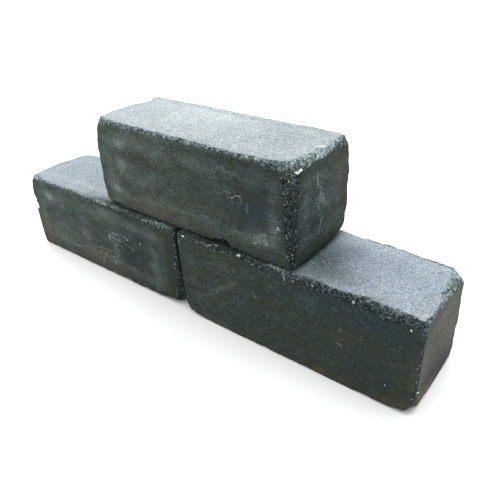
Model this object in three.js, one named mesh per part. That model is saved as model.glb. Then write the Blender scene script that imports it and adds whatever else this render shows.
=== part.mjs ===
// A dry stack of three tumbled concrete walling blocks: two lie end to end on the ground
// and the third is laid across their joint, as in running bond.
// Millimetres. +X runs along the course, -Y is the front of the wall, +Z is up.
// The origin is the middle of the stack's outline, on the ground.

import * as THREE from "three";

// A block's sides are cast to about 320 x 120 x 120, and each is a few millimetres off that.
const LOWER_HEIGHT = 124;
const RIGHT_LENGTH = 322;
const LEFT_LENGTH = 328;
const LOWER_WIDTH = 120;
const TOP_LENGTH = 318;
const TOP_WIDTH = 119;
const TOP_HEIGHT = 120;

// how the blocks were laid, by hand and slightly out of line
const END_JOINT = 8;
const BED_CLEARANCE = 0.3;
const TOP_SHIFT = 147;
const LEFT_SETBACK = 3.1;
const TOP_SETBACK = 6.1;
const LEFT_YAW = THREE.MathUtils.degToRad(-0.1);
const TOP_YAW = THREE.MathUtils.degToRad(-1.1);

// the tumbler rounds every arris: a mean radius, and how far it swings along the arris
const ARRIS_RADIUS = 9.5;
const ARRIS_SWING = 2.5;
const WIDEST_ARRIS = 22;
const RIPPLE_LENGTHS = [17, 23, 29];

// mesh steps: across half an arris, and along each clear side between two arrises
const ARRIS_STEPS = 3;
const CLEAR_STEP = 20;

const CHARCOAL = "#566060";

function concrete(colour) {
  return new THREE.MeshStandardMaterial({ color: colour, roughness: 0.9, metalness: 0 });
}

// Stations along one side of the block: evenly spaced between the widest arrises, then
// closer together, so that they turn each rounded arris in equal angles.
function stations(side) {
  const half = side / 2;
  const clear = half - WIDEST_ARRIS;
  const steps = Math.max(2, Math.round((2 * clear) / CLEAR_STEP));
  const turned = [];
  for (let i = 0; i <= ARRIS_STEPS; i += 1) {
    const angle = (i / ARRIS_STEPS) * (Math.PI / 4);
    turned.push(half - ARRIS_RADIUS + ARRIS_RADIUS * Math.tan(angle));
  }
  const places = [];
  for (let i = 0; i <= steps; i += 1) {
    places.push(-clear + (2 * clear * i) / steps);
  }
  return [...turned.map((place) => -place).reverse(), ...places, ...turned];
}

// A slow wander between -1 and 1 that differs from block to block by its phase.
function ripple(point, phase) {
  const [short, middle, long] = RIPPLE_LENGTHS;
  const a = Math.sin(point.x / short + phase);
  const b = Math.sin(point.y / middle + point.z / short + 2 * phase);
  const c = Math.sin((point.x + point.z) / long + 3 * phase);
  return (a + b + c) / 3;
}

// The arris radius at a point: it wanders along the arris and grows towards a worn corner.
function arrisRadius(point, half, block) {
  let radius = ARRIS_RADIUS + ARRIS_SWING * ripple(point, block.phase);
  for (const worn of block.wornCorners) {
    const corner = half.clone().multiply(new THREE.Vector3(...worn.corner));
    const near = point.distanceTo(corner) / worn.reach;
    radius += worn.extra * Math.exp(-near * near);
  }
  return Math.min(radius, WIDEST_ARRIS);
}

// How deep a knocked-out chip is at a point: deepest in its middle, nothing at its rim.
function chipDepth(point, chip) {
  const near = point.distanceTo(new THREE.Vector3(...chip.at)) / chip.reach;
  return near < 1 ? chip.depth * (1 - near * near) ** 2 : 0;
}

// Moves a point of the sharp-edged box onto the tumbled surface. Points in the clear
// middle of a side stay where they are, so every side keeps an exactly flat face.
function tumble(point, half, block) {
  const radius = arrisRadius(point, half, block);
  const core = half.clone().subScalar(radius);
  const centre = point.clone().clamp(core.clone().negate(), core);
  const outward = point.clone().sub(centre).normalize();
  const onArris = outward.toArray().filter((part) => part !== 0).length > 1;
  let depth = radius;
  if (onArris) {
    for (const chip of block.chips) {
      depth -= chipDepth(point, chip);
    }
  }
  return centre.addScaledVector(outward, depth);
}

// One closed block about its own centre: a grid wrapped round a box, then tumbled.
function tumbledBlock(block) {
  const half = new THREE.Vector3(block.length, block.width, block.height).multiplyScalar(0.5);
  const grid = [stations(block.length), stations(block.width), stations(block.height)];
  const last = grid.map((places) => places.length - 1);
  const positions = [];
  const numbers = new Map();
  const faces = [];

  function vertex(cell) {
    const key = cell.join(" ");
    if (!numbers.has(key)) {
      const point = new THREE.Vector3(...cell.map((step, axis) => grid[axis][step]));
      numbers.set(key, positions.length / 3);
      positions.push(...tumble(point, half, block).toArray());
    }
    return numbers.get(key);
  }

  for (const axis of [0, 1, 2]) {
    const across = (axis + 1) % 3;
    const up = (axis + 2) % 3;
    for (const end of [0, last[axis]]) {
      for (let i = 0; i < last[across]; i += 1) {
        for (let j = 0; j < last[up]; j += 1) {
          const ring = [[0, 0], [1, 0], [1, 1], [0, 1]].map(([di, dj]) => {
            const cell = [0, 0, 0];
            cell[axis] = end;
            cell[across] = i + di;
            cell[up] = j + dj;
            return vertex(cell);
          });
          const [a, b, c, d] = end === 0 ? ring.reverse() : ring;
          faces.push(a, b, c, a, c, d);
        }
      }
    }
  }

  const geometry = new THREE.BufferGeometry();
  geometry.setAttribute("position", new THREE.Float32BufferAttribute(positions, 3));
  geometry.setIndex(faces);
  geometry.computeVertexNormals();
  return geometry;
}

function layBlock(name, block, centre, yaw) {
  const mesh = new THREE.Mesh(tumbledBlock(block), concrete(CHARCOAL));
  mesh.name = name;
  mesh.position.copy(centre);
  mesh.rotation.z = yaw;
  return mesh;
}

// Chips and worn corners are placed from each block's own centre.
const rightBlock = {
  length: RIGHT_LENGTH,
  width: LOWER_WIDTH,
  height: LOWER_HEIGHT,
  phase: 0.4,
  wornCorners: [
    { corner: [1, 1, 1], extra: 11, reach: 34 },
    { corner: [1, -1, -1], extra: 9, reach: 30 },
    { corner: [-1, -1, -1], extra: 8, reach: 28 },
  ],
  chips: [{ at: [7, -LOWER_WIDTH / 2, LOWER_HEIGHT / 2], reach: 24, depth: 2 }],
};

const leftBlock = {
  length: LEFT_LENGTH,
  width: LOWER_WIDTH,
  height: LOWER_HEIGHT,
  phase: 2.1,
  wornCorners: [
    { corner: [-1, -1, 1], extra: 5, reach: 24 },
    { corner: [1, -1, -1], extra: 9, reach: 34 },
  ],
  chips: [
    { at: [-LEFT_LENGTH / 2, -LOWER_WIDTH / 2, 8], reach: 26, depth: 2.5 },
    { at: [LEFT_LENGTH / 2, -LOWER_WIDTH / 2, -20], reach: 44, depth: 3 },
    { at: [25, -LOWER_WIDTH / 2, LOWER_HEIGHT / 2], reach: 34, depth: 2 },
  ],
};

const topBlock = {
  length: TOP_LENGTH,
  width: TOP_WIDTH,
  height: TOP_HEIGHT,
  phase: 4.4,
  wornCorners: [
    { corner: [1, -1, 1], extra: 6, reach: 36 },
    { corner: [1, 1, -1], extra: 5, reach: 26 },
  ],
  chips: [
    { at: [TOP_LENGTH / 2, -TOP_WIDTH / 2, 30], reach: 40, depth: 2.5 },
    { at: [34, -TOP_WIDTH / 2, -TOP_HEIGHT / 2], reach: 30, depth: 3.5 },
  ],
};

// places, counted from the middle of the lower right block's footprint
const lowerMiddle = LOWER_HEIGHT / 2;
const leftMiddle = -RIGHT_LENGTH / 2 - END_JOINT - LEFT_LENGTH / 2;
const topMiddle = -TOP_SHIFT;
const bed = LOWER_HEIGHT + BED_CLEARANCE;

const stack = new THREE.Group();
stack.add(layBlock("lower_right_block", rightBlock, new THREE.Vector3(0, 0, lowerMiddle), 0));
stack.add(
  layBlock(
    "lower_left_block",
    leftBlock,
    new THREE.Vector3(leftMiddle, LEFT_SETBACK, lowerMiddle),
    LEFT_YAW,
  ),
);
stack.add(
  layBlock(
    "top_block",
    topBlock,
    new THREE.Vector3(topMiddle, TOP_SETBACK, bed + TOP_HEIGHT / 2),
    TOP_YAW,
  ),
);

// puts the origin under the middle of the whole stack
stack.updateMatrixWorld(true);
const outline = new THREE.Box3().setFromObject(stack, true);
const middle = outline.getCenter(new THREE.Vector3());
stack.position.set(-middle.x, -middle.y, -outline.min.z);

export default stack;
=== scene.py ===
import itertools
import math

import bpy
import numpy as np
from mathutils import Matrix, Vector


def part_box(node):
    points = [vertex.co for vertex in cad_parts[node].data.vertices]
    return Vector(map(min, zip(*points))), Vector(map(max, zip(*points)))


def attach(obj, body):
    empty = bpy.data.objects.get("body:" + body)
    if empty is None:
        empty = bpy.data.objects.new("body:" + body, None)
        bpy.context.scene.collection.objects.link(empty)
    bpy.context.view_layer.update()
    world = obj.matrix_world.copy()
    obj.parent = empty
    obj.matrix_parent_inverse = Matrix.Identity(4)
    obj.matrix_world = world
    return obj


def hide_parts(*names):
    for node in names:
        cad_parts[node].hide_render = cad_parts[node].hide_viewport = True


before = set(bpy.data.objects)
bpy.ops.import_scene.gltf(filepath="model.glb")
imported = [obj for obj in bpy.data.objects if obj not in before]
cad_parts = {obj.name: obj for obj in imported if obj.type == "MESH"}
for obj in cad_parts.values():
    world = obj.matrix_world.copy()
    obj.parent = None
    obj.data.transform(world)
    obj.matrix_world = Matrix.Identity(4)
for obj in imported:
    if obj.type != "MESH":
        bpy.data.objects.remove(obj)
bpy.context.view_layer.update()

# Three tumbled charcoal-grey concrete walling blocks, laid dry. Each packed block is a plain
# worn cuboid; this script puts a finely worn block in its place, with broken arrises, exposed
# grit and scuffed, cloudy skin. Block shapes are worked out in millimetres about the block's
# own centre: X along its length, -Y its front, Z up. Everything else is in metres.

MM = 0.001
SIDES = {
    "left": (0, -1),
    "right": (0, 1),
    "front": (1, -1),
    "back": (1, 1),
    "under": (2, -1),
    "top": (2, 1),
}

# ---------------------------------------------------------------- the three blocks, in mm

# How far a worn arris reaches into its two sides where a block doesn't say otherwise.
ARRIS_WIDTH = 7.5

# arrises: width at the low end and at the high end of the arris
# corners: extra width there, and how far from the corner it fades
# bites: a place on the surface, the way it faces, its width and its depth
# haze (paleness and painted light): how pale the bloom on each side is, from 0 to 1, at the
# side's low and high end; the tops' far higher values are partly painted top light
# ring: how much bloom has dried in a ring a little way in from each side's outline
# clouds: soft patches by kind, each with its side, its middle and its spread in the side's own
#     two directions, and its strength. Bloom is pale lime on the cast skin, dust lies on broken
#     stone, blue turns both from olive to blue, soil is brown and rub is small pale dabs. A
#     strength below 0 takes some away; such bloom and dust patches in creases and beside the
#     upper block are painted shade, and one blue patch there tints painted shade.
# scuffs: pale scratches and chips by side, each with its two ends in the side's own two
#     directions, its width and its strength
TOP = {
    "node": "top_block",
    "body": "upper",
    "yaw": -1.1,
    "seed": 31,
    "arrises": {
        ("front", "top"): (7.5, 9),
        ("right", "top"): (14, 9),
        ("front", "right"): (13, 18),
        ("front", "left"): (6, 12),
        ("front", "under"): (5, 6),
        ("right", "under"): (5, 7),
        ("back", "right"): (9, 10),
    },
    "corners": {
        ("right", "front", "top"): (9, 24),
        ("right", "back", "under"): (8, 28),
        ("right", "back", "top"): (6, 26),
        ("left", "front", "top"): (9, 28),
        ("left", "front", "under"): (5, 24),
    },
    "bites": [
        ((62, -59, -60), (0, -0.8, -1), 17, 10),
        ((52, -59, -60), (0, -0.8, -1), 24, 6),
        ((38, -59, -61), (0, -0.6, -1), 32, 4),
        ((151, -57, 51), (0.6, -1, 0.5), 26, 3),
        ((-150, 30, 60), (-1, 0.2, 1), 20, 2),
    ],
    "paleness_and_painted_light": {
        # the top's far higher paleness is partly painted top light
        "top": (0.74, 0.62),
        "front": (0.21, 0.10),
        "right": (0.105, 0.13),
        "left": (0.2, 0.2),
        "back": (0.12, 0.15),
        "under": (0.12, 0.12),
    },
    "ring": 0.07,
    "clouds": {
        "bloom_and_painted_light": [
            ("front", (-108, 33), (14, 10), 0.16),
            ("front", (-109, 7), (13, 8), 0.2),
            ("front", (-70, -8), (34, 9), 0.11),
            ("front", (-72, 22), (22, 9), -0.06),
            ("front", (-62, 42), (48, 8), 0.06),
            ("front", (-126, -32), (10, 8), 0.12),
            ("front", (116, -33), (17, 9), 0.16),
            ("front", (134, -12), (8, 14), 0.09),
            # painted shade: less bloom along the bottom arris, darkening the crease where the
            # block sits
            ("front", (0, -60), (170, 6), -0.1),
            ("front", (112, 12), (34, 34), -0.03),
            ("right", (2, 2), (22, 10), 0.1),
            ("right", (-22, 24), (12, 12), 0.05),
            # painted shade: less bloom along the end's bottom arris, darkening the crease where
            # the block sits
            ("right", (0, -60), (60, 7), -0.1),
            ("top", (-30, 18), (76, 34), 0.27),
        ],
        "dust_and_painted_light": [
            ("front", (0, 58), (170, 4), 0.08),
            # these two are painted shade: less dust along the bottom arris darkens the crease
            # where the block sits, and the notch knocked out of it
            ("front", (0, -60), (170, 8), -0.2),
            ("front", (56, -58), (22, 12), -0.3),
            ("front", (156, -24), (18, 34), -0.12),
            ("right", (-4, 56), (30, 13), 0.36),
            ("right", (-46, 54), (14, 14), 0.05),
            ("right", (-56, -24), (12, 34), -0.12),
            # painted shade: less dust along the end's bottom arris, darkening the crease where
            # the block sits
            ("right", (0, -60), (60, 8), -0.2),
            ("top", (152, 0), (10, 52), 0.25),
        ],
        "blue_and_painted_shade": [
            ("front", (112, 0), (50, 50), 0.6),
            ("front", (-108, 20), (18, 22), 0.45),
            ("front", (10, 48), (90, 14), 0.3),
            ("right", (-14, -12), (44, 50), 0.8),
        ],
        "soil": [
            ("front", (-60, -46), (90, 14), 0.17),
            ("front", (-140, 0), (16, 60), 0.12),
            ("front", (-72, 24), (26, 11), 0.13),
            ("right", (34, 20), (24, 40), 0.15),
        ],
        "rub": [
            ("front", (84, 9), (11, 6), 0.5),
            ("front", (118, -33), (13, 7), 0.4),
            ("front", (-108, 6), (14, 8), 0.25),
            ("right", (-6, 8), (9, 24), 0.5),
            ("top", (120, 20), (14, 18), 0.4),
            ("top", (150, -4), (8, 26), 0.8),
        ],
    },
    "scuffs": {
        "right": [
            ((-31, 52), (-27, 53), 1.5, 0.85),
            ((-14, 55), (-10, 56), 1.7, 0.9),
            ((5, 57), (9, 57), 1.6, 0.85),
            ((-13.7, 39), (-12.7, 27.5), 1.2, 0.6),
            ((-12.7, 27.5), (-8, 20), 1.3, 0.7),
            ((-8, 20), (-2, 16), 1.0, 0.45),
            ((-1.5, 7), (0.5, 3), 2.0, 0.6),
            ((-9.5, 9), (13, -10), 4.5, 0.16),
            ((-1.5, -17.5), (-6, -29), 1.6, 0.55),
            ((-6, -29), (-8, -35), 1.2, 0.4),
            ((-46.5, 49.5), (-43, 51), 1.8, 1.0),
            ((-44, 51), (-41.5, 52), 1.7, 1.0),
        ],
        "front": [
            ((66, 13), (77, 12.5), 0.9, 0.4),
            ((73.5, 6), (81, 8), 1.2, 0.55),
            ((82, 10), (91, 12.5), 0.9, 0.5),
            ((99.5, 6), (100, -4), 0.8, 0.45),
            ((140, -11), (141, -13), 1.7, 0.85),
            ((139, -12), (136, -18), 1.4, 0.5),
            ((106, -40), (112, -39), 1.2, 0.55),
            ((112, -31), (123, -25), 2.2, 0.25),
            ((123.5, -35.5), (125.5, -35.5), 1.6, 0.7),
            ((-129, -29), (-123, -34), 1.6, 0.3),
            ((-114, -6), (-109, -5), 1.6, 0.3),
            ((-114, -40), (-84, -41), 1.2, 0.14),
            ((26, -29), (41, -27), 1.5, 0.16),
        ],
        "top": [
            ((146, 5), (152, 10), 3.2, 0.92),
        ],
    },
}

RIGHT = {
    "node": "lower_right_block",
    "body": "lower_right",
    "yaw": 0.0,
    "seed": 57,
    "arrises": {
        ("front", "top"): (7, 16),
        ("right", "top"): (7, 10),
        ("front", "right"): (7, 6),
        ("front", "left"): (6, 4),
        ("front", "under"): (5, 6),
        ("right", "under"): (12, 6),
        ("left", "top"): (3, 7),
        ("back", "top"): (6, 12),
        ("back", "right"): (8, 15),
    },
    "corners": {
        ("right", "back", "top"): (8, 44),
        ("right", "front", "under"): (7, 26),
        ("left", "front", "under"): (8, 26),
    },
    "bites": [
        ((2, -60, 60), (0, -1, 0.8), 18, 2),
        ((60, 59, 61), (0, 1, 1), 24, 2.5),
        ((-161, 20, -50), (-1, 0, -0.4), 22, 2.5),
    ],
    "paleness_and_painted_light": {
        # the top's paleness is partly painted top light, and it is lower towards the upper block
        # partly as painted shade from it
        "top": (0.46, 0.66),
        "front": (0.125, 0.07),
        "right": (0.155, 0.20),
        "left": (0.15, 0.15),
        "back": (0.1, 0.12),
        "under": (0.15, 0.15),
    },
    "ring": 0.02,
    "clouds": {
        "bloom_and_painted_light": [
            ("front", (-95, 0), (30, 26), 0.03),
            ("right", (5, 44), (50, 16), 0.08),
            ("right", (-4, -36), (44, 20), -0.11),
            ("right", (-50, -4), (11, 44), 0.13),
            ("right", (22, -36), (36, 26), -0.08),
            ("top", (50, 46), (40, 13), 0.27),
            # these two are painted shade: less bloom on the top beside the upper block's end
            ("top", (28, -8), (30, 38), -0.22),
            ("top", (54, -34), (36, 18), -0.15),
            # painted shade: less bloom along the front arris under the upper block, darkening the
            # crease
            ("top", (-90, -55), (80, 12), -0.45),
            # a dark line where the upper block's end stands: partly painted shadow of that end,
            # partly a clean strip
            ("top", (9, 0), (5, 64), -0.4),
        ],
        "dust_and_painted_light": [
            ("front", (60, 60), (110, 9), -0.18),
            ("front", (0, -62), (170, 8), -0.2),
            ("right", (0, 56), (60, 8), 0.22),
            ("right", (52, 54), (14, 14), 0.3),
            ("top", (90, -57), (60, 9), -0.16),
            ("top", (0, -57), (50, 8), 0.05),
            # painted shade: less dust along the front arris under the upper block, darkening the
            # crease
            ("top", (-90, -56), (80, 12), -0.2),
            ("top", (153, 52), (14, 15), 0.35),
            ("top", (146, 33), (7, 8), -0.35),
        ],
        "blue_and_painted_shade": [
            ("front", (-30, -8), (34, 34), 0.35),
            ("front", (112, -18), (22, 26), 0.4),
            ("front", (90, 44), (90, 22), 0.7),
            ("right", (4, -32), (34, 28), 1.2),
            ("top", (90, 0), (110, 80), 0.9),
            # a blue tint of the painted shade beside the upper block
            ("top", (22, -10), (34, 50), 0.5),
        ],
        "soil": [
            ("front", (-100, -54), (60, 8), 0.3),
            ("front", (51, -54), (7, 5), 0.45),
            ("front", (73, 5), (10, 16), 0.12),
            ("front", (60, -54), (100, 7), 0.15),
            ("front", (146, -58), (22, 10), 0.4),
            ("right", (34, -8), (18, 30), 0.6),
            ("right", (-32, -50), (30, 9), 1.2),
            ("right", (0, 10), (60, 50), 0.38),
        ],
        "rub": [
            ("front", (-112, 58), (36, 4), 0.6),
            ("right", (10, 20), (24, 30), 0.2),
            ("top", (150, 34), (8, 14), 0.4),
            ("top", (80, -55), (80, 6), 0.4),
            ("top", (26, -14), (16, 12), 0.4),
            ("top", (98, -27), (9, 9), 0.5),
        ],
    },
    "scuffs": {
        "right": [
            ((-55, -27), (-51.5, -30), 1.6, 1.0),
        ],
        "front": [
            ((-116, -16), (-68, 20), 4.2, 0.12),
            ((-132, -27), (-116, -16), 5.0, 0.06),
            ((-1, 61), (1.5, 52.5), 2.4, 0.5),
            ((-22, 61), (-6, 60), 1.3, 0.6),
            ((-150, 59), (-148, 59), 1.8, 1.0),
            ((-158, 51), (-158, 48), 1.4, 0.7),
            ((-107, 60), (-103, 60), 1.2, 0.7),
            ((-63, 60), (-61, 60), 1.9, 1.0),
            ((128, -32), (128, -32.5), 1.4, 0.9),
            ((72, 15), (74, 14), 2.2, 0.22),
            ((71, -4), (75, -6), 1.8, 0.3),
            ((97, 19), (95.5, 12), 1.0, 0.25),
            ((-41, 13), (-39, 10), 1.3, 0.3),
            ((35, 57), (37, 57), 1.3, 0.9),
            ((84, 56), (85, 56), 1.3, 0.85),
            ((122, 54), (123, 54), 1.3, 0.85),
            ((146, 50), (146.5, 49), 1.4, 0.9),
        ],
        "top": [
            ((14, -5.5), (36, -9), 1.0, 0.3),
            ((14, -24), (29, -29), 1.2, 0.3),
            ((20, -12), (44, -30), 1.0, 0.2),
            ((70, -26), (76, -28), 2.4, 0.5),
            ((96.5, -21), (100, -28), 1.3, 0.7),
            ((100, -28), (103, -35), 1.3, 0.6),
            ((27, -48), (29, -49), 2.0, 0.4),
        ],
    },
}

LEFT = {
    "node": "lower_left_block",
    "body": "lower_left",
    "yaw": -0.1,
    "seed": 83,
    "arrises": {
        ("front", "top"): (4, 8),
        ("left", "front"): (3, 5),
        ("left", "under"): (4, 6),
        ("right", "front"): (13, 5),
        ("front", "under"): (4, 9),
        ("right", "top"): (4, 7),
        ("left", "top"): (10, 10),
    },
    "corners": {
        ("left", "front", "top"): (11, 26),
        ("left", "front", "under"): (1, 20),
        ("left", "back", "top"): (10, 30),
        ("right", "front", "under"): (9, 28),
    },
    "bites": [
        ((-162, -58, 8), (-1, -1, 0), 14, 6),
        ((-162, -58, 20), (-1, -1, 0), 12, 4),
        ((20, -60, 60), (0, -1, 1), 44, 2.5),
        ((163, -57, -25), (1, -1, 0), 36, 3),
        ((-164, 30, -58), (-1, 0, -1), 24, 3),
    ],
    "paleness_and_painted_light": {
        # the top's far higher paleness is partly painted top light
        "top": (0.61, 0.64),
        "front": (0.2, 0.12),
        "right": (0.15, 0.15),
        "left": (0.2, 0.2),
        "back": (0.11, 0.13),
        "under": (0.15, 0.15),
    },
    "ring": 0.09,
    "clouds": {
        "bloom_and_painted_light": [
            ("front", (-115, 36), (14, 9), 0.16),
            ("front", (-92, -22), (38, 26), 0.1),
            ("front", (-32, -10), (16, 12), 0.1),
            ("front", (-34, 17), (9, 8), 0.09),
            ("front", (34, 6), (14, 12), 0.12),
            ("front", (24, 46), (26, 8), 0.18),
            ("front", (36, -12), (6, 14), 0.12),
            ("front", (120, -8), (10, 34), 0.12),
            # painted shade: less bloom on the front beside the joint with the lower right block
            ("front", (166, 0), (26, 80), -0.16),
            ("front", (72, -10), (24, 22), -0.05),
            # painted shade: less bloom along the front arris under the upper block, darkening the
            # crease
            ("top", (90, -55), (90, 12), -0.5),
        ],
        "dust_and_painted_light": [
            ("front", (26, 54), (20, 8), 0.2),
            ("front", (142, 56), (16, 8), 0.3),
            ("front", (-90, 58), (70, 6), 0.2),
            ("front", (20, 58), (50, 8), 0.15),
            ("top", (-100, -57), (70, 6), 0.5),
            # painted shade: less dust along the front arris under the upper block, darkening the
            # crease
            ("top", (90, -56), (80, 12), -0.22),
        ],
        "blue_and_painted_shade": [
            ("front", (66, -12), (38, 32), 0.75),
            ("front", (90, 32), (30, 14), 0.5),
            ("front", (-90, 28), (50, 16), 0.3),
            ("top", (-100, 0), (120, 90), 0.5),
        ],
        "soil": [
            ("front", (-152, -30), (14, 34), 0.4),
            ("front", (-60, -52), (110, 9), 0.24),
            ("front", (0, -36), (50, 14), 0.25),
            ("front", (40, -54), (110, 6), 0.15),
        ],
        "rub": [
            ("front", (120, 58), (36, 5), 0.7),
            ("front", (33, 9), (19, 10), 0.6),
            ("front", (0, -30), (30, 12), 0.4),
            ("front", (-36, -6), (14, 12), 0.3),
            ("front", (-112, 36), (12, 8), 0.4),
            ("top", (-20, -57), (40, 6), 0.6),
            ("top", (-110, -20), (30, 20), 0.35),
        ],
    },
    "scuffs": {
        "front": [
            ((112, 58), (114, 57), 1.5, 0.9),
            ((136, 57), (138, 57), 1.3, 0.85),
            ((32, 16), (51, 16), 1.6, 0.5),
            ((62, 18), (67, 14), 1.9, 0.8),
            ((72, 23), (73.5, 21), 1.2, 0.5),
            ((93.5, 17), (94, 16), 1.5, 0.8),
            ((62, 4.5), (77, -0.5), 2.0, 0.3),
            ((26, 11), (25, 2), 1.6, 0.45),
            ((26, 8), (43.5, 6.5), 1.2, 0.3),
            ((31, -5.5), (41, -4), 1.2, 0.3),
            ((-70, -40.5), (-45, -34), 1.1, 0.2),
            ((-45, -34), (-34, -30.5), 1.2, 0.45),
            ((-15, -24), (-4, -20.5), 1.2, 0.4),
            ((-4, -20.5), (8.5, -20.5), 1.1, 0.45),
            ((8.5, -20.5), (26, -17), 1.1, 0.4),
            ((-21.5, -24), (-20, -33), 2.0, 0.4),
            ((-1.5, -24), (0, -32), 2.0, 0.4),
            ((2, -38), (-5, -50.5), 1.8, 0.4),
            ((26.5, -28), (28, -39), 1.8, 0.6),
            ((32, -25.5), (41, -20.5), 1.5, 0.3),
            ((-118, 38), (-115, 31), 2.6, 0.4),
            ((-89, 23), (-81.5, 27), 2.0, 0.3),
        ],
    },
}

# ---------------------------------------------------------------- repeatable noise

HASH_STEPS = (73856093, 19349663, 83492791)
HASH_SEED = 2654435761
HASH_MIX = 1274126177
WORD = 0xFFFFFFFF


def cell_number(cells, seed):
    """A repeatable number from 0 to 1 for each whole-numbered cell of space."""
    mixed = np.full(len(cells), (seed * HASH_SEED) & WORD, np.int64)
    for axis, step in enumerate(HASH_STEPS):
        mixed ^= (cells[:, axis] * step) & WORD
    mixed = ((mixed ^ (mixed >> 15)) * HASH_MIX) & WORD
    mixed = ((mixed ^ (mixed >> 13)) * HASH_MIX) & WORD
    return (mixed ^ (mixed >> 16)) / WORD


def smooth_noise(points, size, seed):
    """Noise from -1 to 1 whose bumps are about size across."""
    scaled = points / size
    cells = np.floor(scaled).astype(np.int64)
    part = scaled - cells
    part = part * part * (3 - 2 * part)
    total = np.zeros(len(points))
    for corner in itertools.product((0, 1), repeat=3):
        weight = np.prod(np.where(corner, part, 1 - part), axis=1)
        total += weight * cell_number(cells + np.array(corner), seed)
    return 2 * total - 1


def layered_noise(points, size, layers, seed):
    """Smooth noise with ever finer and weaker layers on top."""
    total = np.zeros(len(points))
    for layer in range(layers):
        total += smooth_noise(points, size / 2**layer, seed + layer) / 2**layer
    return total


def grains(points, size, seed):
    """Distance to the nearest grain's middle, in grain sizes, and that grain's own number."""
    scaled = points / size
    home = np.floor(scaled).astype(np.int64)
    nearest = np.full(len(points), np.inf)
    number = np.zeros(len(points))
    for step in itertools.product((-1, 0, 1), repeat=3):
        cells = home + np.array(step)
        middle = cells + np.stack([cell_number(cells, seed + k) for k in range(3)], axis=1)
        apart = np.linalg.norm(scaled - middle, axis=1)
        closer = apart < nearest
        nearest = np.where(closer, apart, nearest)
        number = np.where(closer, cell_number(cells, seed + 3), number)
    return nearest, number


def ease(value, low, high):
    """0 below low, 1 above high, and a smooth step between."""
    part = np.clip((value - low) / (high - low), 0, 1)
    return part * part * (3 - 2 * part)


# ---------------------------------------------------------------- the shape of a tumbled block

# All in millimetres. Every use of noise adds a number of its own to the block's seed.
CORE_DEPTH = 26.0     # the rays that find the surface start on a box this far inside
FINE_BAND = 14.0      # the mesh is finer this near an arris
FINE_STEP = 0.85
WIDE_STEPS = (1.05, 3.2, 3.2)     # along X, Y and Z, away from the arrises
GRID_PARTS = 1000     # points that agree to one part in this many of 1 mm are one point
SETTLE_STEPS = 16
SETTLE_RATE = 0.8

SHARP_RADIUS = 1.3    # of a skin edge that has nothing knocked off it
ARRIS_POWER = 1.9     # 1 would be a flat chamfer, 2 a round
ARRIS_MIX = 6.0       # where arrises meet, their widths mix over this distance
LEAST_WEIGHT = 1e-9   # of a far arris in that mix
ARRIS_SWINGS = ((34, 0.26), (9, 0.24))     # how long a swing in width is, and its share of it
NARROWEST_ARRIS = 2.5
WIDEST_ARRIS = 24.0   # less than CORE_DEPTH, so that every ray starts inside
SKIN_DEPTH = 0.7      # how deep wear has to go before it breaks the skin
JOIN_REACH = 1.6      # skin and broken surface run into each other over this depth
BROKEN_FROM = -1.1    # how far below the skin the break lies where stone first shows
BROKEN_TO = 0.8       # and where there is only stone

LUMP_SIZE = 9.0
LUMP_DEPTH = 0.42
GRAIN_SIZE = 3.1
GRAIN_DEPTH = 0.6
GRAIN_STEP = 0.35     # how much one grain can stand above another
DIP_SIZE = 46.0       # of the cast skin's slow hollows
DIP_DEPTH = 0.25
RIPPLE_SIZE = 6.0
RIPPLE_DEPTH = 0.05
POP_SPACING = 26.0    # of the small pits that burst air bubbles leave
POP_RADIUS = 0.09     # of the largest, as a share of the spacing, as is the rim
POP_RIM = 0.03
POP_DEPTH = 0.5

RING_PLACE = 25.0     # bloom dries in a ring this far in from a side's outline
RING_SPREAD = 8.0
CLOUD_TURN = 7.0      # a cloud fades this far round an arris
BLOOM_TURN = 2.2      # and one side's bloom or dust gives way to the next side's
DUST_TURN = 5.0


def stations(half, wide_step):
    """Places along one side of the block, closer together near its two arrises."""
    fine = round(FINE_BAND / FINE_STEP)
    wide = round(2 * (half - FINE_BAND) / wide_step)
    left = np.linspace(-half, FINE_BAND - half, fine, endpoint=False)
    middle = np.linspace(FINE_BAND - half, half - FINE_BAND, wide, endpoint=False)
    right = np.linspace(half - FINE_BAND, half, fine + 1)
    return np.concatenate([left, middle, right])


def wrapped_box(half):
    """Points and outward quads of a grid that wraps the whole box, with shared edges."""
    lines = [stations(side, step) for side, step in zip(half, WIDE_STEPS)]
    points = []
    quads = []
    count = 0
    for axis in range(3):
        across, up = (axis + 1) % 3, (axis + 2) % 3
        a, b = np.meshgrid(lines[across], lines[up], indexing="ij")
        for sign in (-1, 1):
            sheet = np.empty(a.shape + (3,))
            sheet[..., axis] = sign * half[axis]
            sheet[..., across] = a
            sheet[..., up] = b
            number = np.arange(a.size).reshape(a.shape) + count
            ring = [number[:-1, :-1], number[1:, :-1], number[1:, 1:], number[:-1, 1:]]
            ring = ring if sign > 0 else ring[::-1]
            points.append(sheet.reshape(-1, 3))
            quads.append(np.stack(ring, axis=-1).reshape(-1, 4))
            count += a.size
    points = np.concatenate(points)
    key = np.round(points * GRID_PARTS).astype(np.int64)
    _, first, shared = np.unique(key, axis=0, return_index=True, return_inverse=True)
    return points[first], shared.reshape(-1)[np.concatenate(quads)]


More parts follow.
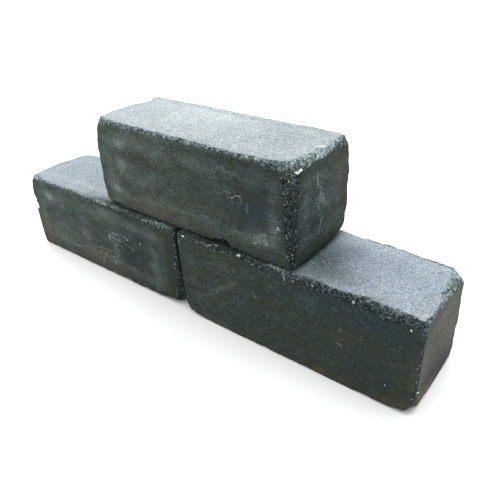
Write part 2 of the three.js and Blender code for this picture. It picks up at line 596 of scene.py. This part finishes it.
def mixed_widths(block, points, half):
    """The widths of the block's twelve arrises, mixed at each point by nearness."""
    total = np.zeros(len(points))
    weights = np.zeros(len(points))
    named = {frozenset(pair): widths for pair, widths in block["arrises"].items()}
    for one, other in itertools.combinations(SIDES, 2):
        (axis_a, sign_a), (axis_b, sign_b) = SIDES[one], SIDES[other]
        if axis_a == axis_b:
            continue
        along = 3 - axis_a - axis_b
        low, high = named.get(frozenset((one, other)), (ARRIS_WIDTH, ARRIS_WIDTH))
        share = (points[:, along] / half[along] + 1) / 2
        inside_a = half[axis_a] - sign_a * points[:, axis_a]
        inside_b = half[axis_b] - sign_b * points[:, axis_b]
        weight = np.exp(-np.hypot(inside_a, inside_b) / ARRIS_MIX) + LEAST_WEIGHT
        total += weight * (low + (high - low) * share)
        weights += weight
    return total / weights


def arris_widths(block, points, half):
    """How far wear reaches in at each point, with its swings and its worn corners."""
    swing = np.zeros(len(points))
    for number, (length, share) in enumerate(ARRIS_SWINGS):
        swing += share * smooth_noise(points, length, block["seed"] + number)
    widths = mixed_widths(block, points, half) * (1 + swing)
    for sides, (extra, reach) in block["corners"].items():
        corner = np.zeros(3)
        for side in sides:
            axis, sign = SIDES[side]
            corner[axis] = sign * half[axis]
        apart = np.linalg.norm(points - corner, axis=1) / reach
        widths += extra * np.exp(-apart * apart)
    return np.clip(widths, NARROWEST_ARRIS, WIDEST_ARRIS)


def skin(points, half):
    """Signed distance to the cast block: flat sides and nearly sharp edges."""
    over = np.abs(points) - (half - SHARP_RADIUS)
    outside = np.linalg.norm(np.maximum(over, 0), axis=1)
    return outside + np.minimum(over.max(axis=1), 0) - SHARP_RADIUS


def worn(points, half, widths):
    """Signed distance to the block with its arrises and corners worn away."""
    over = np.maximum(widths[:, None] - (half - np.abs(points)), 0)
    return (over**ARRIS_POWER).sum(axis=1) ** (1 / ARRIS_POWER) - widths


def bites(block, points):
    """Signed depth into the deepest knocked-out scoop, each a part of a large ball."""
    deepest = np.full(len(points), -np.inf)
    for place, facing, width, depth in block["bites"]:
        ball = (width * width / 4 + depth * depth) / (2 * depth)
        facing = np.array(facing, float) / np.linalg.norm(facing)
        middle = np.array(place) + facing * (ball - depth)
        deepest = np.maximum(deepest, ball - np.linalg.norm(points - middle, axis=1))
    return deepest


def joined(cast, broken):
    """The deeper of two signed distances, rounded where they cross."""
    near = np.maximum(JOIN_REACH - np.abs(cast - broken), 0) / JOIN_REACH
    return np.maximum(cast, broken) + near * near * JOIN_REACH / 4


def settle(core, rays, travel, shape):
    """Walks each ray to where the signed distance is nothing."""
    for _ in range(SETTLE_STEPS):
        travel = travel - SETTLE_RATE * shape(core + rays * travel[:, None])
    return travel


def grit_relief(points, seed):
    """The broken stone's relief: lumps with smaller lumps on them, and rounded grains."""
    apart, number = grains(points, GRAIN_SIZE, seed + 20)
    lumps = LUMP_DEPTH * layered_noise(points, LUMP_SIZE, 3, seed + 10)
    return lumps + GRAIN_DEPTH * (apart - 0.5) - GRAIN_STEP * (number - 0.5)


def skin_hollow(points, seed):
    """How far the cast skin dips below flat: slow dips, fine ripples and a few shallow pops."""
    slow = DIP_DEPTH * (1 + smooth_noise(points, DIP_SIZE, seed + 30))
    fine = RIPPLE_DEPTH * (1 + layered_noise(points, RIPPLE_SIZE, 2, seed + 31))
    apart, number = grains(points, POP_SPACING, seed + 40)
    return slow + fine + POP_DEPTH * ease(POP_RADIUS * number - apart, -POP_RIM, POP_RIM)


def tumbled(block, half):
    """The block's finished points and quads, and how broken it is at each point, 0 to 1."""
    seed = block["seed"]
    points, quads = wrapped_box(half)
    core = np.clip(points, CORE_DEPTH - half, half - CORE_DEPTH)
    travel = np.linalg.norm(points - core, axis=1)
    rays = (points - core) / travel[:, None]
    widths = arris_widths(block, points, half)
    travel = settle(core, rays, travel, lambda p: worn(p, half, widths))
    near = core + rays * travel[:, None]
    rough = grit_relief(near, seed)
    hollow = skin_hollow(near, seed)

    def cast(p):
        return skin(p, half) + hollow

    def broken(p):
        return np.maximum(worn(p, half, widths) - SKIN_DEPTH, bites(block, p)) + rough

    travel = settle(core, rays, travel, lambda p: joined(cast(p), broken(p)))
    final = np.clip(core + rays * travel[:, None], -half, half)
    return final, quads, ease(broken(final) - cast(final), BROKEN_FROM, BROKEN_TO)


def side_directions(side):
    """The two directions that a place on this side is given in."""
    return [axis for axis in range(3) if axis != SIDES[side][0]]


def inside(side, points, half):
    """How far inside the block each point is, measured from one side."""
    axis, sign = SIDES[side]
    return half[axis] - sign * points[:, axis]


def side_paleness_and_light(block, points, half, turn):
    """How pale each point is by the side it lies on, blended round the arrises; the tops'
    paleness is partly painted top light.
    """
    total = np.zeros(len(points))
    weights = np.zeros(len(points))
    for side, (low, high) in block["paleness_and_painted_light"].items():
        across, up = side_directions(side)
        share = (points[:, across] / half[across] + 1) / 2
        margins = [half[axis] - np.abs(points[:, axis]) for axis in (across, up)]
        margin = np.minimum(*margins)
        ring = block["ring"] * np.exp(-(((margin - RING_PLACE) / RING_SPREAD) ** 2))
        weight = np.exp(-inside(side, points, half) / turn)
        total += weight * (low + (high - low) * share + ring)
        weights += weight
    return total / weights


def clouds(block, kind, points, half):
    """The soft patches of one kind that the block's sides carry."""
    total = np.zeros(len(points))
    for side, middle, spread, strength in block["clouds"][kind]:
        across, up = side_directions(side)
        a = (points[:, across] - middle[0]) / spread[0]
        b = (points[:, up] - middle[1]) / spread[1]
        depth = inside(side, points, half) / CLOUD_TURN
        total += strength * np.exp(-a * a - b * b - depth * depth)
    return total


# ---------------------------------------------------------------- materials

# colours
OLIVE_DARK = (0.0225, 0.0290, 0.0200, 1)
BLUE_DARK = (0.0150, 0.0262, 0.0262, 1)
# the upper sides' dark skin, far paler than the other sides' partly as painted top light
TOP_SKIN_AND_TOP_LIGHT = (0.078, 0.106, 0.124, 1)
BLOOM_ON_DARK = (0.20, 0.265, 0.225, 1)
# the upper sides' bloom, paler and bluer partly as painted top light
BLOOM_ON_TOP_AND_TOP_LIGHT = (0.335, 0.370, 0.375, 1)
BLOOM_BLUE = (0.268, 0.314, 0.366, 1)
STONE_DARK = (0.004, 0.0080, 0.0070, 1)
STONE_MIDDLE = (0.032, 0.051, 0.043, 1)
STONE_BLUE = (0.025, 0.041, 0.050, 1)
STONE_BRIGHT = (0.38, 0.44, 0.41, 1)
DUST = (0.285, 0.360, 0.375, 1)
SOIL = (0.105, 0.074, 0.052, 1)
DRAG = (0.34, 0.385, 0.355, 1)
CHIP_PALE = (0.66, 0.69, 0.65, 1)
WARM_TINT = (1.045, 0.99, 0.94, 1)
COOL_TINT = (0.95, 1.005, 1.05, 1)

# how large the bumps of each noise are, in metres
TONE_SIZE = 0.06
CLOUD_SIZE = 0.030
HAIR_PATCH_SIZE = 0.022
STREAK_SIZE = 0.02
HAIR_SIZE = 0.017
SPARK_BUNCH_SIZE = 0.012
TINT_SIZE = 0.007
POLISH_SIZE = 0.006
RAGGED_SIZE = 0.0055
DUST_PATCH_SIZE = 0.0050
DAB_SIZE = 0.0042
WAVER_SIZE = 0.0042
SCUFF_GAP_SIZE = 0.0032
GRIT_SIZE = 0.0028
SAND_SIZE = 0.0018

# how many times longer than high each level mark is
CLOUD_STRETCH = 2.2
STREAK_STRETCH = 9.0
HAIR_STRETCH = 14.0

WAVER_REACH = 0.0021  # scuffs stray this far from a straight line, in metres
FLATTEN = 0.93        # how much of a scuff's depth is ignored, so that it wraps worn arrises
DUST_CLUMPING = 1.6   # over 1 thins dust out where there is little of it
SAND_RELIEF = 0.0006  # how high sand and grit stand in the bump, in metres
GRIT_RELIEF = 0.0030
SHEEN = 0.12


def add(tree, kind, settings=None, **inputs):
    """A node with its settings and inputs, each a number, a colour or another node's socket.

    An input is given by its name with _ for spaces, or by i and its number.
    """
    made = tree.nodes.new(kind)
    for name, value in (settings or {}).items():
        setattr(made, name, value)
    for name, value in inputs.items():
        key = int(name[1:]) if name[1:].isdigit() else name.replace("_", " ")
        socket = made.inputs[key]
        if isinstance(value, bpy.types.NodeSocket):
            tree.links.new(value, socket)
        else:
            socket.default_value = value
    return made


def noise(tree, coords, size, detail=3.0, harshness=0.55):
    """Noise from 0 to 1 whose bumps are about size metres across."""
    grain = {"Scale": 1 / size, "Detail": detail, "Roughness": harshness}
    return add(tree, "ShaderNodeTexNoise", Vector=coords, **grain).outputs["Fac"]


def remap(tree, value, low, high, to_low=0.0, to_high=1.0, curve="SMOOTHSTEP"):
    """The value moved from the first range to the second, and held within it."""
    settings = {"interpolation_type": curve}
    ranges = {"i1": low, "i2": high, "i3": to_low, "i4": to_high}
    return add(tree, "ShaderNodeMapRange", settings, i0=value, **ranges).outputs[0]


def combine(tree, operation, a, b):
    """Two values worked into one: ADD, MULTIPLY, MAXIMUM and so on."""
    return add(tree, "ShaderNodeMath", {"operation": operation}, i0=a, i1=b).outputs[0]


def vector(tree, operation, output, **inputs):
    """One output of a vector operation."""
    made = add(tree, "ShaderNodeVectorMath", {"operation": operation}, **inputs)
    return made.outputs[output]


def blend(tree, share, a, b, mode="MIX"):
    """Colour a turned towards colour b by share."""
    made = tree.nodes.new("ShaderNodeMix")
    made.data_type = "RGBA"
    made.blend_type = mode
    for key, value in (("Factor_Float", share), ("A_Color", a), ("B_Color", b)):
        socket = next(s for s in made.inputs if s.identifier == key)
        if isinstance(value, bpy.types.NodeSocket):
            tree.links.new(value, socket)
        else:
            socket.default_value = value
    return next(s for s in made.outputs if s.identifier == "Result_Color")


def attribute(tree, name):
    """One of the masks that the mesh carries."""
    return add(tree, "ShaderNodeAttribute", {"attribute_name": name}).outputs["Fac"]


def warped(tree, coords, size, reach):
    """Coordinates pushed about by up to reach, so that what is drawn on them wavers."""
    waver = add(tree, "ShaderNodeTexNoise", Vector=coords, Scale=1 / size, Detail=2.0)
    centred = vector(tree, "SUBTRACT", 0, i0=waver.outputs["Color"], i1=(0.5, 0.5, 0.5))
    shift = vector(tree, "SCALE", 0, i0=centred, Scale=2 * reach)
    return vector(tree, "ADD", 0, i0=coords, i1=shift)


def flattened(tree, coords, facing):
    """Coordinates with most of their depth behind one side taken out."""
    depth = vector(tree, "DOT_PRODUCT", "Value", i0=coords, i1=facing)
    shift = vector(tree, "SCALE", 0, i0=facing * -FLATTEN, Scale=depth)
    return vector(tree, "ADD", 0, i0=coords, i1=shift)


def stroke(tree, coords, start, end, width, strength):
    """Strength on a line between two points, fading to 0 at its width; all in metres."""
    along = end - start
    away = vector(tree, "SUBTRACT", 0, i0=coords, i1=start)
    dot = vector(tree, "DOT_PRODUCT", "Value", i0=away, i1=along)
    share = remap(tree, dot, 0.0, along.length_squared, curve="LINEAR")
    reach = vector(tree, "SCALE", 0, i0=along, Scale=share)
    gap = vector(tree, "DISTANCE", "Value", i0=away, i1=reach)
    return remap(tree, gap, 0.25 * width, width, strength, 0.0)


def side_point(side, pair, half):
    """The point of a flat side at a pair of values in its own two directions, in mm."""
    axis, sign = SIDES[side]
    point = Vector((0, 0, 0))
    point[axis] = sign * half[axis]
    for direction, value in zip(side_directions(side), pair):
        point[direction] = value
    return point


def scuff_mask(tree, coords, block, half, place):
    """All the block's pale scuffs, wavering and broken up as dragged grit leaves them."""
    wavering = warped(tree, coords, WAVER_SIZE, WAVER_REACH)
    total = None
    for side, scuffs in block["scuffs"].items():
        axis, sign = SIDES[side]
        facing = sign * place.to_3x3().col[axis]
        flat = flattened(tree, wavering, facing)
        for first, second, width, strength in scuffs:
            spots = [place @ (side_point(side, pair, half) * MM) for pair in (first, second)]
            start, end = [spot - FLATTEN * spot.dot(facing) * facing for spot in spots]
            one = stroke(tree, flat, start, end, width * MM, strength)
            total = one if total is None else combine(tree, "MAXIMUM", total, one)
    patchy = remap(tree, noise(tree, coords, SCUFF_GAP_SIZE, 3.0, 0.75), 0.43, 0.58, 0.05, 1.0)
    chipped = remap(tree, total, 0.7, 0.95)
    return combine(tree, "MAXIMUM", combine(tree, "MULTIPLY", total, patchy), chipped)


def level(tree, coords, stretch):
    """Coordinates on which noise comes out stretch times longer than high."""
    return vector(tree, "MULTIPLY", 0, i0=coords, i1=(1.0, 1.0, stretch))


def streaks(tree, coords):
    """Level strokes left by whatever the skin was rubbed along, 0 to 1."""
    return noise(tree, level(tree, coords, STREAK_STRETCH), STREAK_SIZE, 4.0, 0.65)


def rubbed(tree, coords):
    """Small pale dabs crowded into the patches that took a knock."""
    dabs = remap(tree, noise(tree, coords, DAB_SIZE, 4.0, 0.75), 0.53, 0.64)
    return combine(tree, "MULTIPLY", attribute(tree, "rub"), dabs)


def dark_skin(tree, flat, top_light_share, blue_and_painted_shade):
    """The skin's colour, olive to blue-black, and paler and greyer on the upper sides, partly as
    painted top light.
    """
    tone = remap(tree, noise(tree, flat, TONE_SIZE, 4.0, 0.6), 0.3, 0.7, curve="LINEAR")
    tone = combine(tree, "ADD", tone, blue_and_painted_shade)
    dark = blend(tree, remap(tree, tone, 0.2, 1.3), OLIVE_DARK, BLUE_DARK)
    return blend(tree, top_light_share, dark, TOP_SKIN_AND_TOP_LIGHT)


def bloom_and_light_share(tree, coords, flat, paleness_and_painted_light, sand):
    """How much bloom covers the skin: its side's paleness, clouded, streaked and flecked; on the
    tops this is partly painted top light, and in creases and beside the upper block less of it is
    painted shade.
    """
    cloud = remap(tree, noise(tree, flat, CLOUD_SIZE, 5.0, 0.66), 0.3, 0.7, -0.45, 0.45, "LINEAR")
    streak = remap(tree, streaks(tree, coords), 0.3, 0.7, -0.28, 0.28, "LINEAR")
    uneven = combine(tree, "ADD", cloud, streak)
    uneven = combine(tree, "MULTIPLY", uneven, combine(tree, "MINIMUM", paleness_and_painted_light, 0.2))
    fleck = remap(tree, sand, 0.3, 0.7, -0.05, 0.05, "LINEAR")
    bloomed = combine(tree, "ADD", combine(tree, "ADD", paleness_and_painted_light, uneven), fleck)
    return remap(tree, bloomed, 0.1, 1.05, curve="LINEAR")


def cast_skin(tree, coords, sand):
    """Cloudy dark skin under pale bloom, with grains of sand in it; on the tops both are paler,
    partly as painted top light.
    """
    paleness_and_painted_light = attribute(tree, "paleness_and_painted_light")
    blue_and_painted_shade = attribute(tree, "blue_and_painted_shade")
    top_light_share = remap(tree, paleness_and_painted_light, 0.3, 0.6)
    flat = level(tree, coords, CLOUD_STRETCH)
    dark = dark_skin(tree, flat, top_light_share, blue_and_painted_shade)
    bloom_and_painted_light = blend(tree, blue_and_painted_shade, blend(tree, top_light_share, BLOOM_ON_DARK, BLOOM_ON_TOP_AND_TOP_LIGHT), BLOOM_BLUE)
    colour = blend(tree, bloom_and_light_share(tree, coords, flat, paleness_and_painted_light, sand), dark, bloom_and_painted_light)
    grainy = remap(tree, sand, 0.3, 0.72, 0.52, 1.50, "LINEAR")
    return blend(tree, 1.0, colour, grainy, "MULTIPLY")


def hairlines(tree, coords):
    """Thin faint level lines dragged across the skin, in patches."""
    thin = level(tree, coords, HAIR_STRETCH)
    hair = remap(tree, noise(tree, thin, HAIR_SIZE, 4.0, 0.7), 0.6, 0.72)
    patches = remap(tree, noise(tree, coords, HAIR_PATCH_SIZE), 0.45, 0.65, 0.0, 0.07)
    return combine(tree, "MULTIPLY", hair, patches)


def dust_and_light_share(tree, coords, grit):
    """How much of the broken stone is under dust, which lies in patches and on raised grit; on
    the top arrises more of it is partly painted top light, and in creases less of it is painted
    shade.
    """
    patchy = noise(tree, coords, DUST_PATCH_SIZE, 4.0, 0.9)
    patchy = remap(tree, patchy, 0.42, 0.59, 0.15, 1.5, "LINEAR")
    raised = remap(tree, grit, 0.38, 0.58, 0.45, 1.45, "LINEAR")
    uneven = combine(tree, "MULTIPLY", patchy, raised)
    settled = combine(tree, "MULTIPLY", attribute(tree, "dust_and_painted_light"), uneven)
    return combine(tree, "POWER", remap(tree, settled, 0.0, 1.0, curve="LINEAR"), DUST_CLUMPING)


def broken_stone(tree, coords, grit):
    """Teal-black paste and grey grit with a few sparks, under dust where the side is pale, which
    on the tops is partly painted top light.
    """
    middle = blend(tree, attribute(tree, "blue_and_painted_shade"), STONE_MIDDLE, STONE_BLUE)
    stone = blend(tree, remap(tree, grit, 0.41, 0.61), STONE_DARK, middle)
    bunches = remap(tree, noise(tree, coords, SPARK_BUNCH_SIZE, 4.0, 0.75), 0.46, 0.58)
    sparks = combine(tree, "MULTIPLY", remap(tree, grit, 0.59, 0.645), bunches)
    stone = blend(tree, sparks, stone, STONE_BRIGHT)
    return blend(tree, dust_and_light_share(tree, coords, grit), stone, DUST)


def tinted(tree, coords, colour):
    """The colour turned a little warmer and cooler from patch to patch."""
    patch = remap(tree, noise(tree, coords, TINT_SIZE, 5.0, 0.85), 0.38, 0.62, curve="LINEAR")
    return blend(tree, 1.0, colour, blend(tree, patch, WARM_TINT, COOL_TINT), "MULTIPLY")


def exposed_share(tree, coords):
    """Where stone shows instead of skin, with a ragged edge between them."""
    ragged = noise(tree, coords, RAGGED_SIZE, 4.0, 0.7)
    uneven = remap(tree, ragged, 0.3, 0.7, -0.42, 0.42, "LINEAR")
    return remap(tree, combine(tree, "ADD", attribute(tree, "broken"), uneven), 0.3, 0.75)


def soiled(tree, sand, colour):
    """The colour with soil caught in its grain."""
    caught = remap(tree, sand, 0.3, 0.6, 0.45, 0.9)
    return blend(tree, combine(tree, "MULTIPLY", attribute(tree, "soil"), caught), colour, SOIL)


def scratched(tree, marks, colour):
    """The colour with pale marks on it, the strongest of them chipped to a lighter stone."""
    pale = blend(tree, remap(tree, marks, 0.7, 1.0), DRAG, CHIP_PALE)
    return blend(tree, marks, colour, pale)


def relief(tree, sand, grit, exposed):
    """Normals with the skin's sand, and on top of it the exposed stone's grit."""
    skin_relief = {"Height": sand, "Strength": 0.4, "Distance": SAND_RELIEF}
    skin_normal = add(tree, "ShaderNodeBump", **skin_relief).outputs[0]
    height = combine(tree, "MULTIPLY", grit, exposed)
    stone_relief = {"Height": height, "Strength": 0.8, "Distance": GRIT_RELIEF}
    return add(tree, "ShaderNodeBump", Normal=skin_normal, **stone_relief).outputs[0]


def concrete(block, half, place):
    """Charcoal concrete: cloudy cast skin, gritty broken arrises and pale scuffs, with painted
    top light and painted shade in its colour.
    """
    made = bpy.data.materials.new(block["node"] + "_concrete")
    made.use_nodes = True
    tree = made.node_tree
    tree.nodes.clear()
    coords = add(tree, "ShaderNodeTexCoord").outputs["Object"]
    sand = noise(tree, coords, SAND_SIZE, 2.0, 0.75)
    grit = noise(tree, coords, GRIT_SIZE, 3.0, 0.85)
    exposed = exposed_share(tree, coords)
    marks = combine(tree, "MAXIMUM", hairlines(tree, coords), rubbed(tree, coords))
    marks = combine(tree, "MAXIMUM", marks, scuff_mask(tree, coords, block, half, place))

    cast = cast_skin(tree, coords, sand)
    stone = broken_stone(tree, coords, grit)
    colour = tinted(tree, coords, blend(tree, exposed, cast, stone))
    colour = scratched(tree, marks, soiled(tree, sand, colour))
    rough = remap(tree, noise(tree, coords, POLISH_SIZE, 4.0), 0.3, 0.7, 0.72, 0.9, "LINEAR")
    rough = combine(tree, "MAXIMUM", rough, exposed)
    normal = relief(tree, sand, grit, exposed)

    surface = {"Base_Color": colour, "Roughness": rough, "Normal": normal}
    shader = add(tree, "ShaderNodeBsdfPrincipled", **surface)
    shader.inputs["Specular IOR Level"].default_value = SHEEN
    add(tree, "ShaderNodeOutputMaterial", Surface=shader.outputs[0])
    return made


# ---------------------------------------------------------------- building the blocks

def placed(name, data):
    """A new object of this data, in the scene."""
    made = bpy.data.objects.new(name, data)
    bpy.context.scene.collection.objects.link(made)
    return made


def packed_block(block):
    """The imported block's half sizes in mm and its place, read from the frame."""
    turn = Matrix.Rotation(math.radians(block["yaw"]), 4, "Z")
    low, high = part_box(block["node"])
    middle = (low + high) / 2
    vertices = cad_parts[block["node"]].data.vertices
    local = np.array([turn.inverted() @ (v.co - middle) for v in vertices])
    lowest, highest = local.min(axis=0), local.max(axis=0)
    half = (highest - lowest) / 2 / MM
    place = Matrix.Translation(middle) @ turn @ Matrix.Translation(Vector((lowest + highest) / 2))
    return half, place


def surface_masks(block, points, half):
    """What the material reads at each point, besides how broken it is."""
    masks = {kind: clouds(block, kind, points, half) for kind in ("blue_and_painted_shade", "soil", "rub")}
    # both masks take the sides' paleness, so on the tops they are partly painted top light, and
    # some of their clouds are painted shade
    for name, kind, turn in (("paleness_and_painted_light", "bloom_and_painted_light", BLOOM_TURN), ("dust_and_painted_light", "dust_and_painted_light", DUST_TURN)):
        masks[name] = side_paleness_and_light(block, points, half, turn) + clouds(block, kind, points, half)
    return masks


def build_block(block):
    """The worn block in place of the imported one."""
    half, place = packed_block(block)
    points, quads, broken = tumbled(block, half)
    mesh = bpy.data.meshes.new(block["node"] + "_worn")
    mesh.from_pydata((points * MM).tolist(), [], quads.tolist())
    mesh.transform(place)
    mesh.update()
    mesh.shade_smooth()
    masks = {"broken": broken, **surface_masks(block, points, half)}
    for name, values in masks.items():
        layer = mesh.attributes.new(name, "FLOAT", "POINT")
        layer.data.foreach_set("value", values.astype(np.float32))
    mesh.materials.append(concrete(block, half, place))
    piece = placed(block["node"] + "_worn", mesh)
    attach(piece, block["body"])
    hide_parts(block["node"])


# ---------------------------------------------------------------- stage, light and camera

FLOOR_SIZE = 14.0
FLOOR_COLOUR = (0.82, 0.82, 0.81, 1)
FLOOR_ROUGHNESS = 0.95
SKY_COLOUR = (0.96, 0.98, 1.0, 1)
SKY_STRENGTH = 1.05
OVERHEAD_STRENGTH = 4.1
OVERHEAD_SPREAD = 100.0     # degrees of sky that the soft overhead light fills
OVERHEAD_FROM = Vector((-0.25, 0.4, 1.0))


def pale_floor():
    """Matt, nearly white."""
    made = bpy.data.materials.new("pale_floor")
    made.use_nodes = True
    shader = made.node_tree.nodes["Principled BSDF"]
    shader.inputs["Base Color"].default_value = FLOOR_COLOUR
    shader.inputs["Roughness"].default_value = FLOOR_ROUGHNESS
    return made


def build_floor():
    """A wide level floor under the blocks."""
    mesh = bpy.data.meshes.new("floor")
    side = FLOOR_SIZE / 2
    corners = [(-side, -side, 0), (side, -side, 0), (side, side, 0), (-side, side, 0)]
    mesh.from_pydata(corners, [], [(0, 1, 2, 3)])
    mesh.materials.append(pale_floor())
    placed("floor", mesh)


def build_light():
    """An even pale sky and one very soft light from above, a little behind."""
    world = bpy.data.worlds.new("studio")
    world.use_nodes = True
    backdrop = world.node_tree.nodes["Background"]
    backdrop.inputs["Color"].default_value = SKY_COLOUR
    backdrop.inputs["Strength"].default_value = SKY_STRENGTH
    bpy.context.scene.world = world
    lamp = bpy.data.lights.new("overhead", "SUN")
    lamp.energy = OVERHEAD_STRENGTH
    lamp.angle = math.radians(OVERHEAD_SPREAD)
    overhead = placed("overhead", lamp)
    overhead.rotation_euler = (-OVERHEAD_FROM).to_track_quat("-Z", "Y").to_euler()
    bpy.context.scene.view_settings.view_transform = "Standard"


# from the middle of the lower right block's footprint, in metres and degrees; the lens in mm
CAMERA_PLACE = Vector((0.2632, -0.4391, 0.433))
CAMERA_TURN = 38.94
CAMERA_DIP = 31.28
CAMERA_ROLL = -2.75
CAMERA_LENS = 37.0
CAMERA_NEAREST = 0.01


def build_camera():
    """A camera in front of the right-hand end, looking down along the wall."""
    low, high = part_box("lower_right_block")
    foot = Vector(((low.x + high.x) / 2, (low.y + high.y) / 2, low.z))
    data = bpy.data.cameras.new("camera")
    data.lens = CAMERA_LENS
    data.clip_start = CAMERA_NEAREST
    camera = placed("camera", data)
    turn = Matrix.Rotation(math.radians(CAMERA_TURN), 4, "Z")
    dip = Matrix.Rotation(math.radians(90 - CAMERA_DIP), 4, "X")
    roll = Matrix.Rotation(math.radians(CAMERA_ROLL), 4, "Z")
    camera.matrix_world = Matrix.Translation(foot + CAMERA_PLACE) @ turn @ dip @ roll
    bpy.context.scene.camera = camera


build_camera()
build_light()
build_floor()
for block in (RIGHT, LEFT, TOP):
    build_block(block)
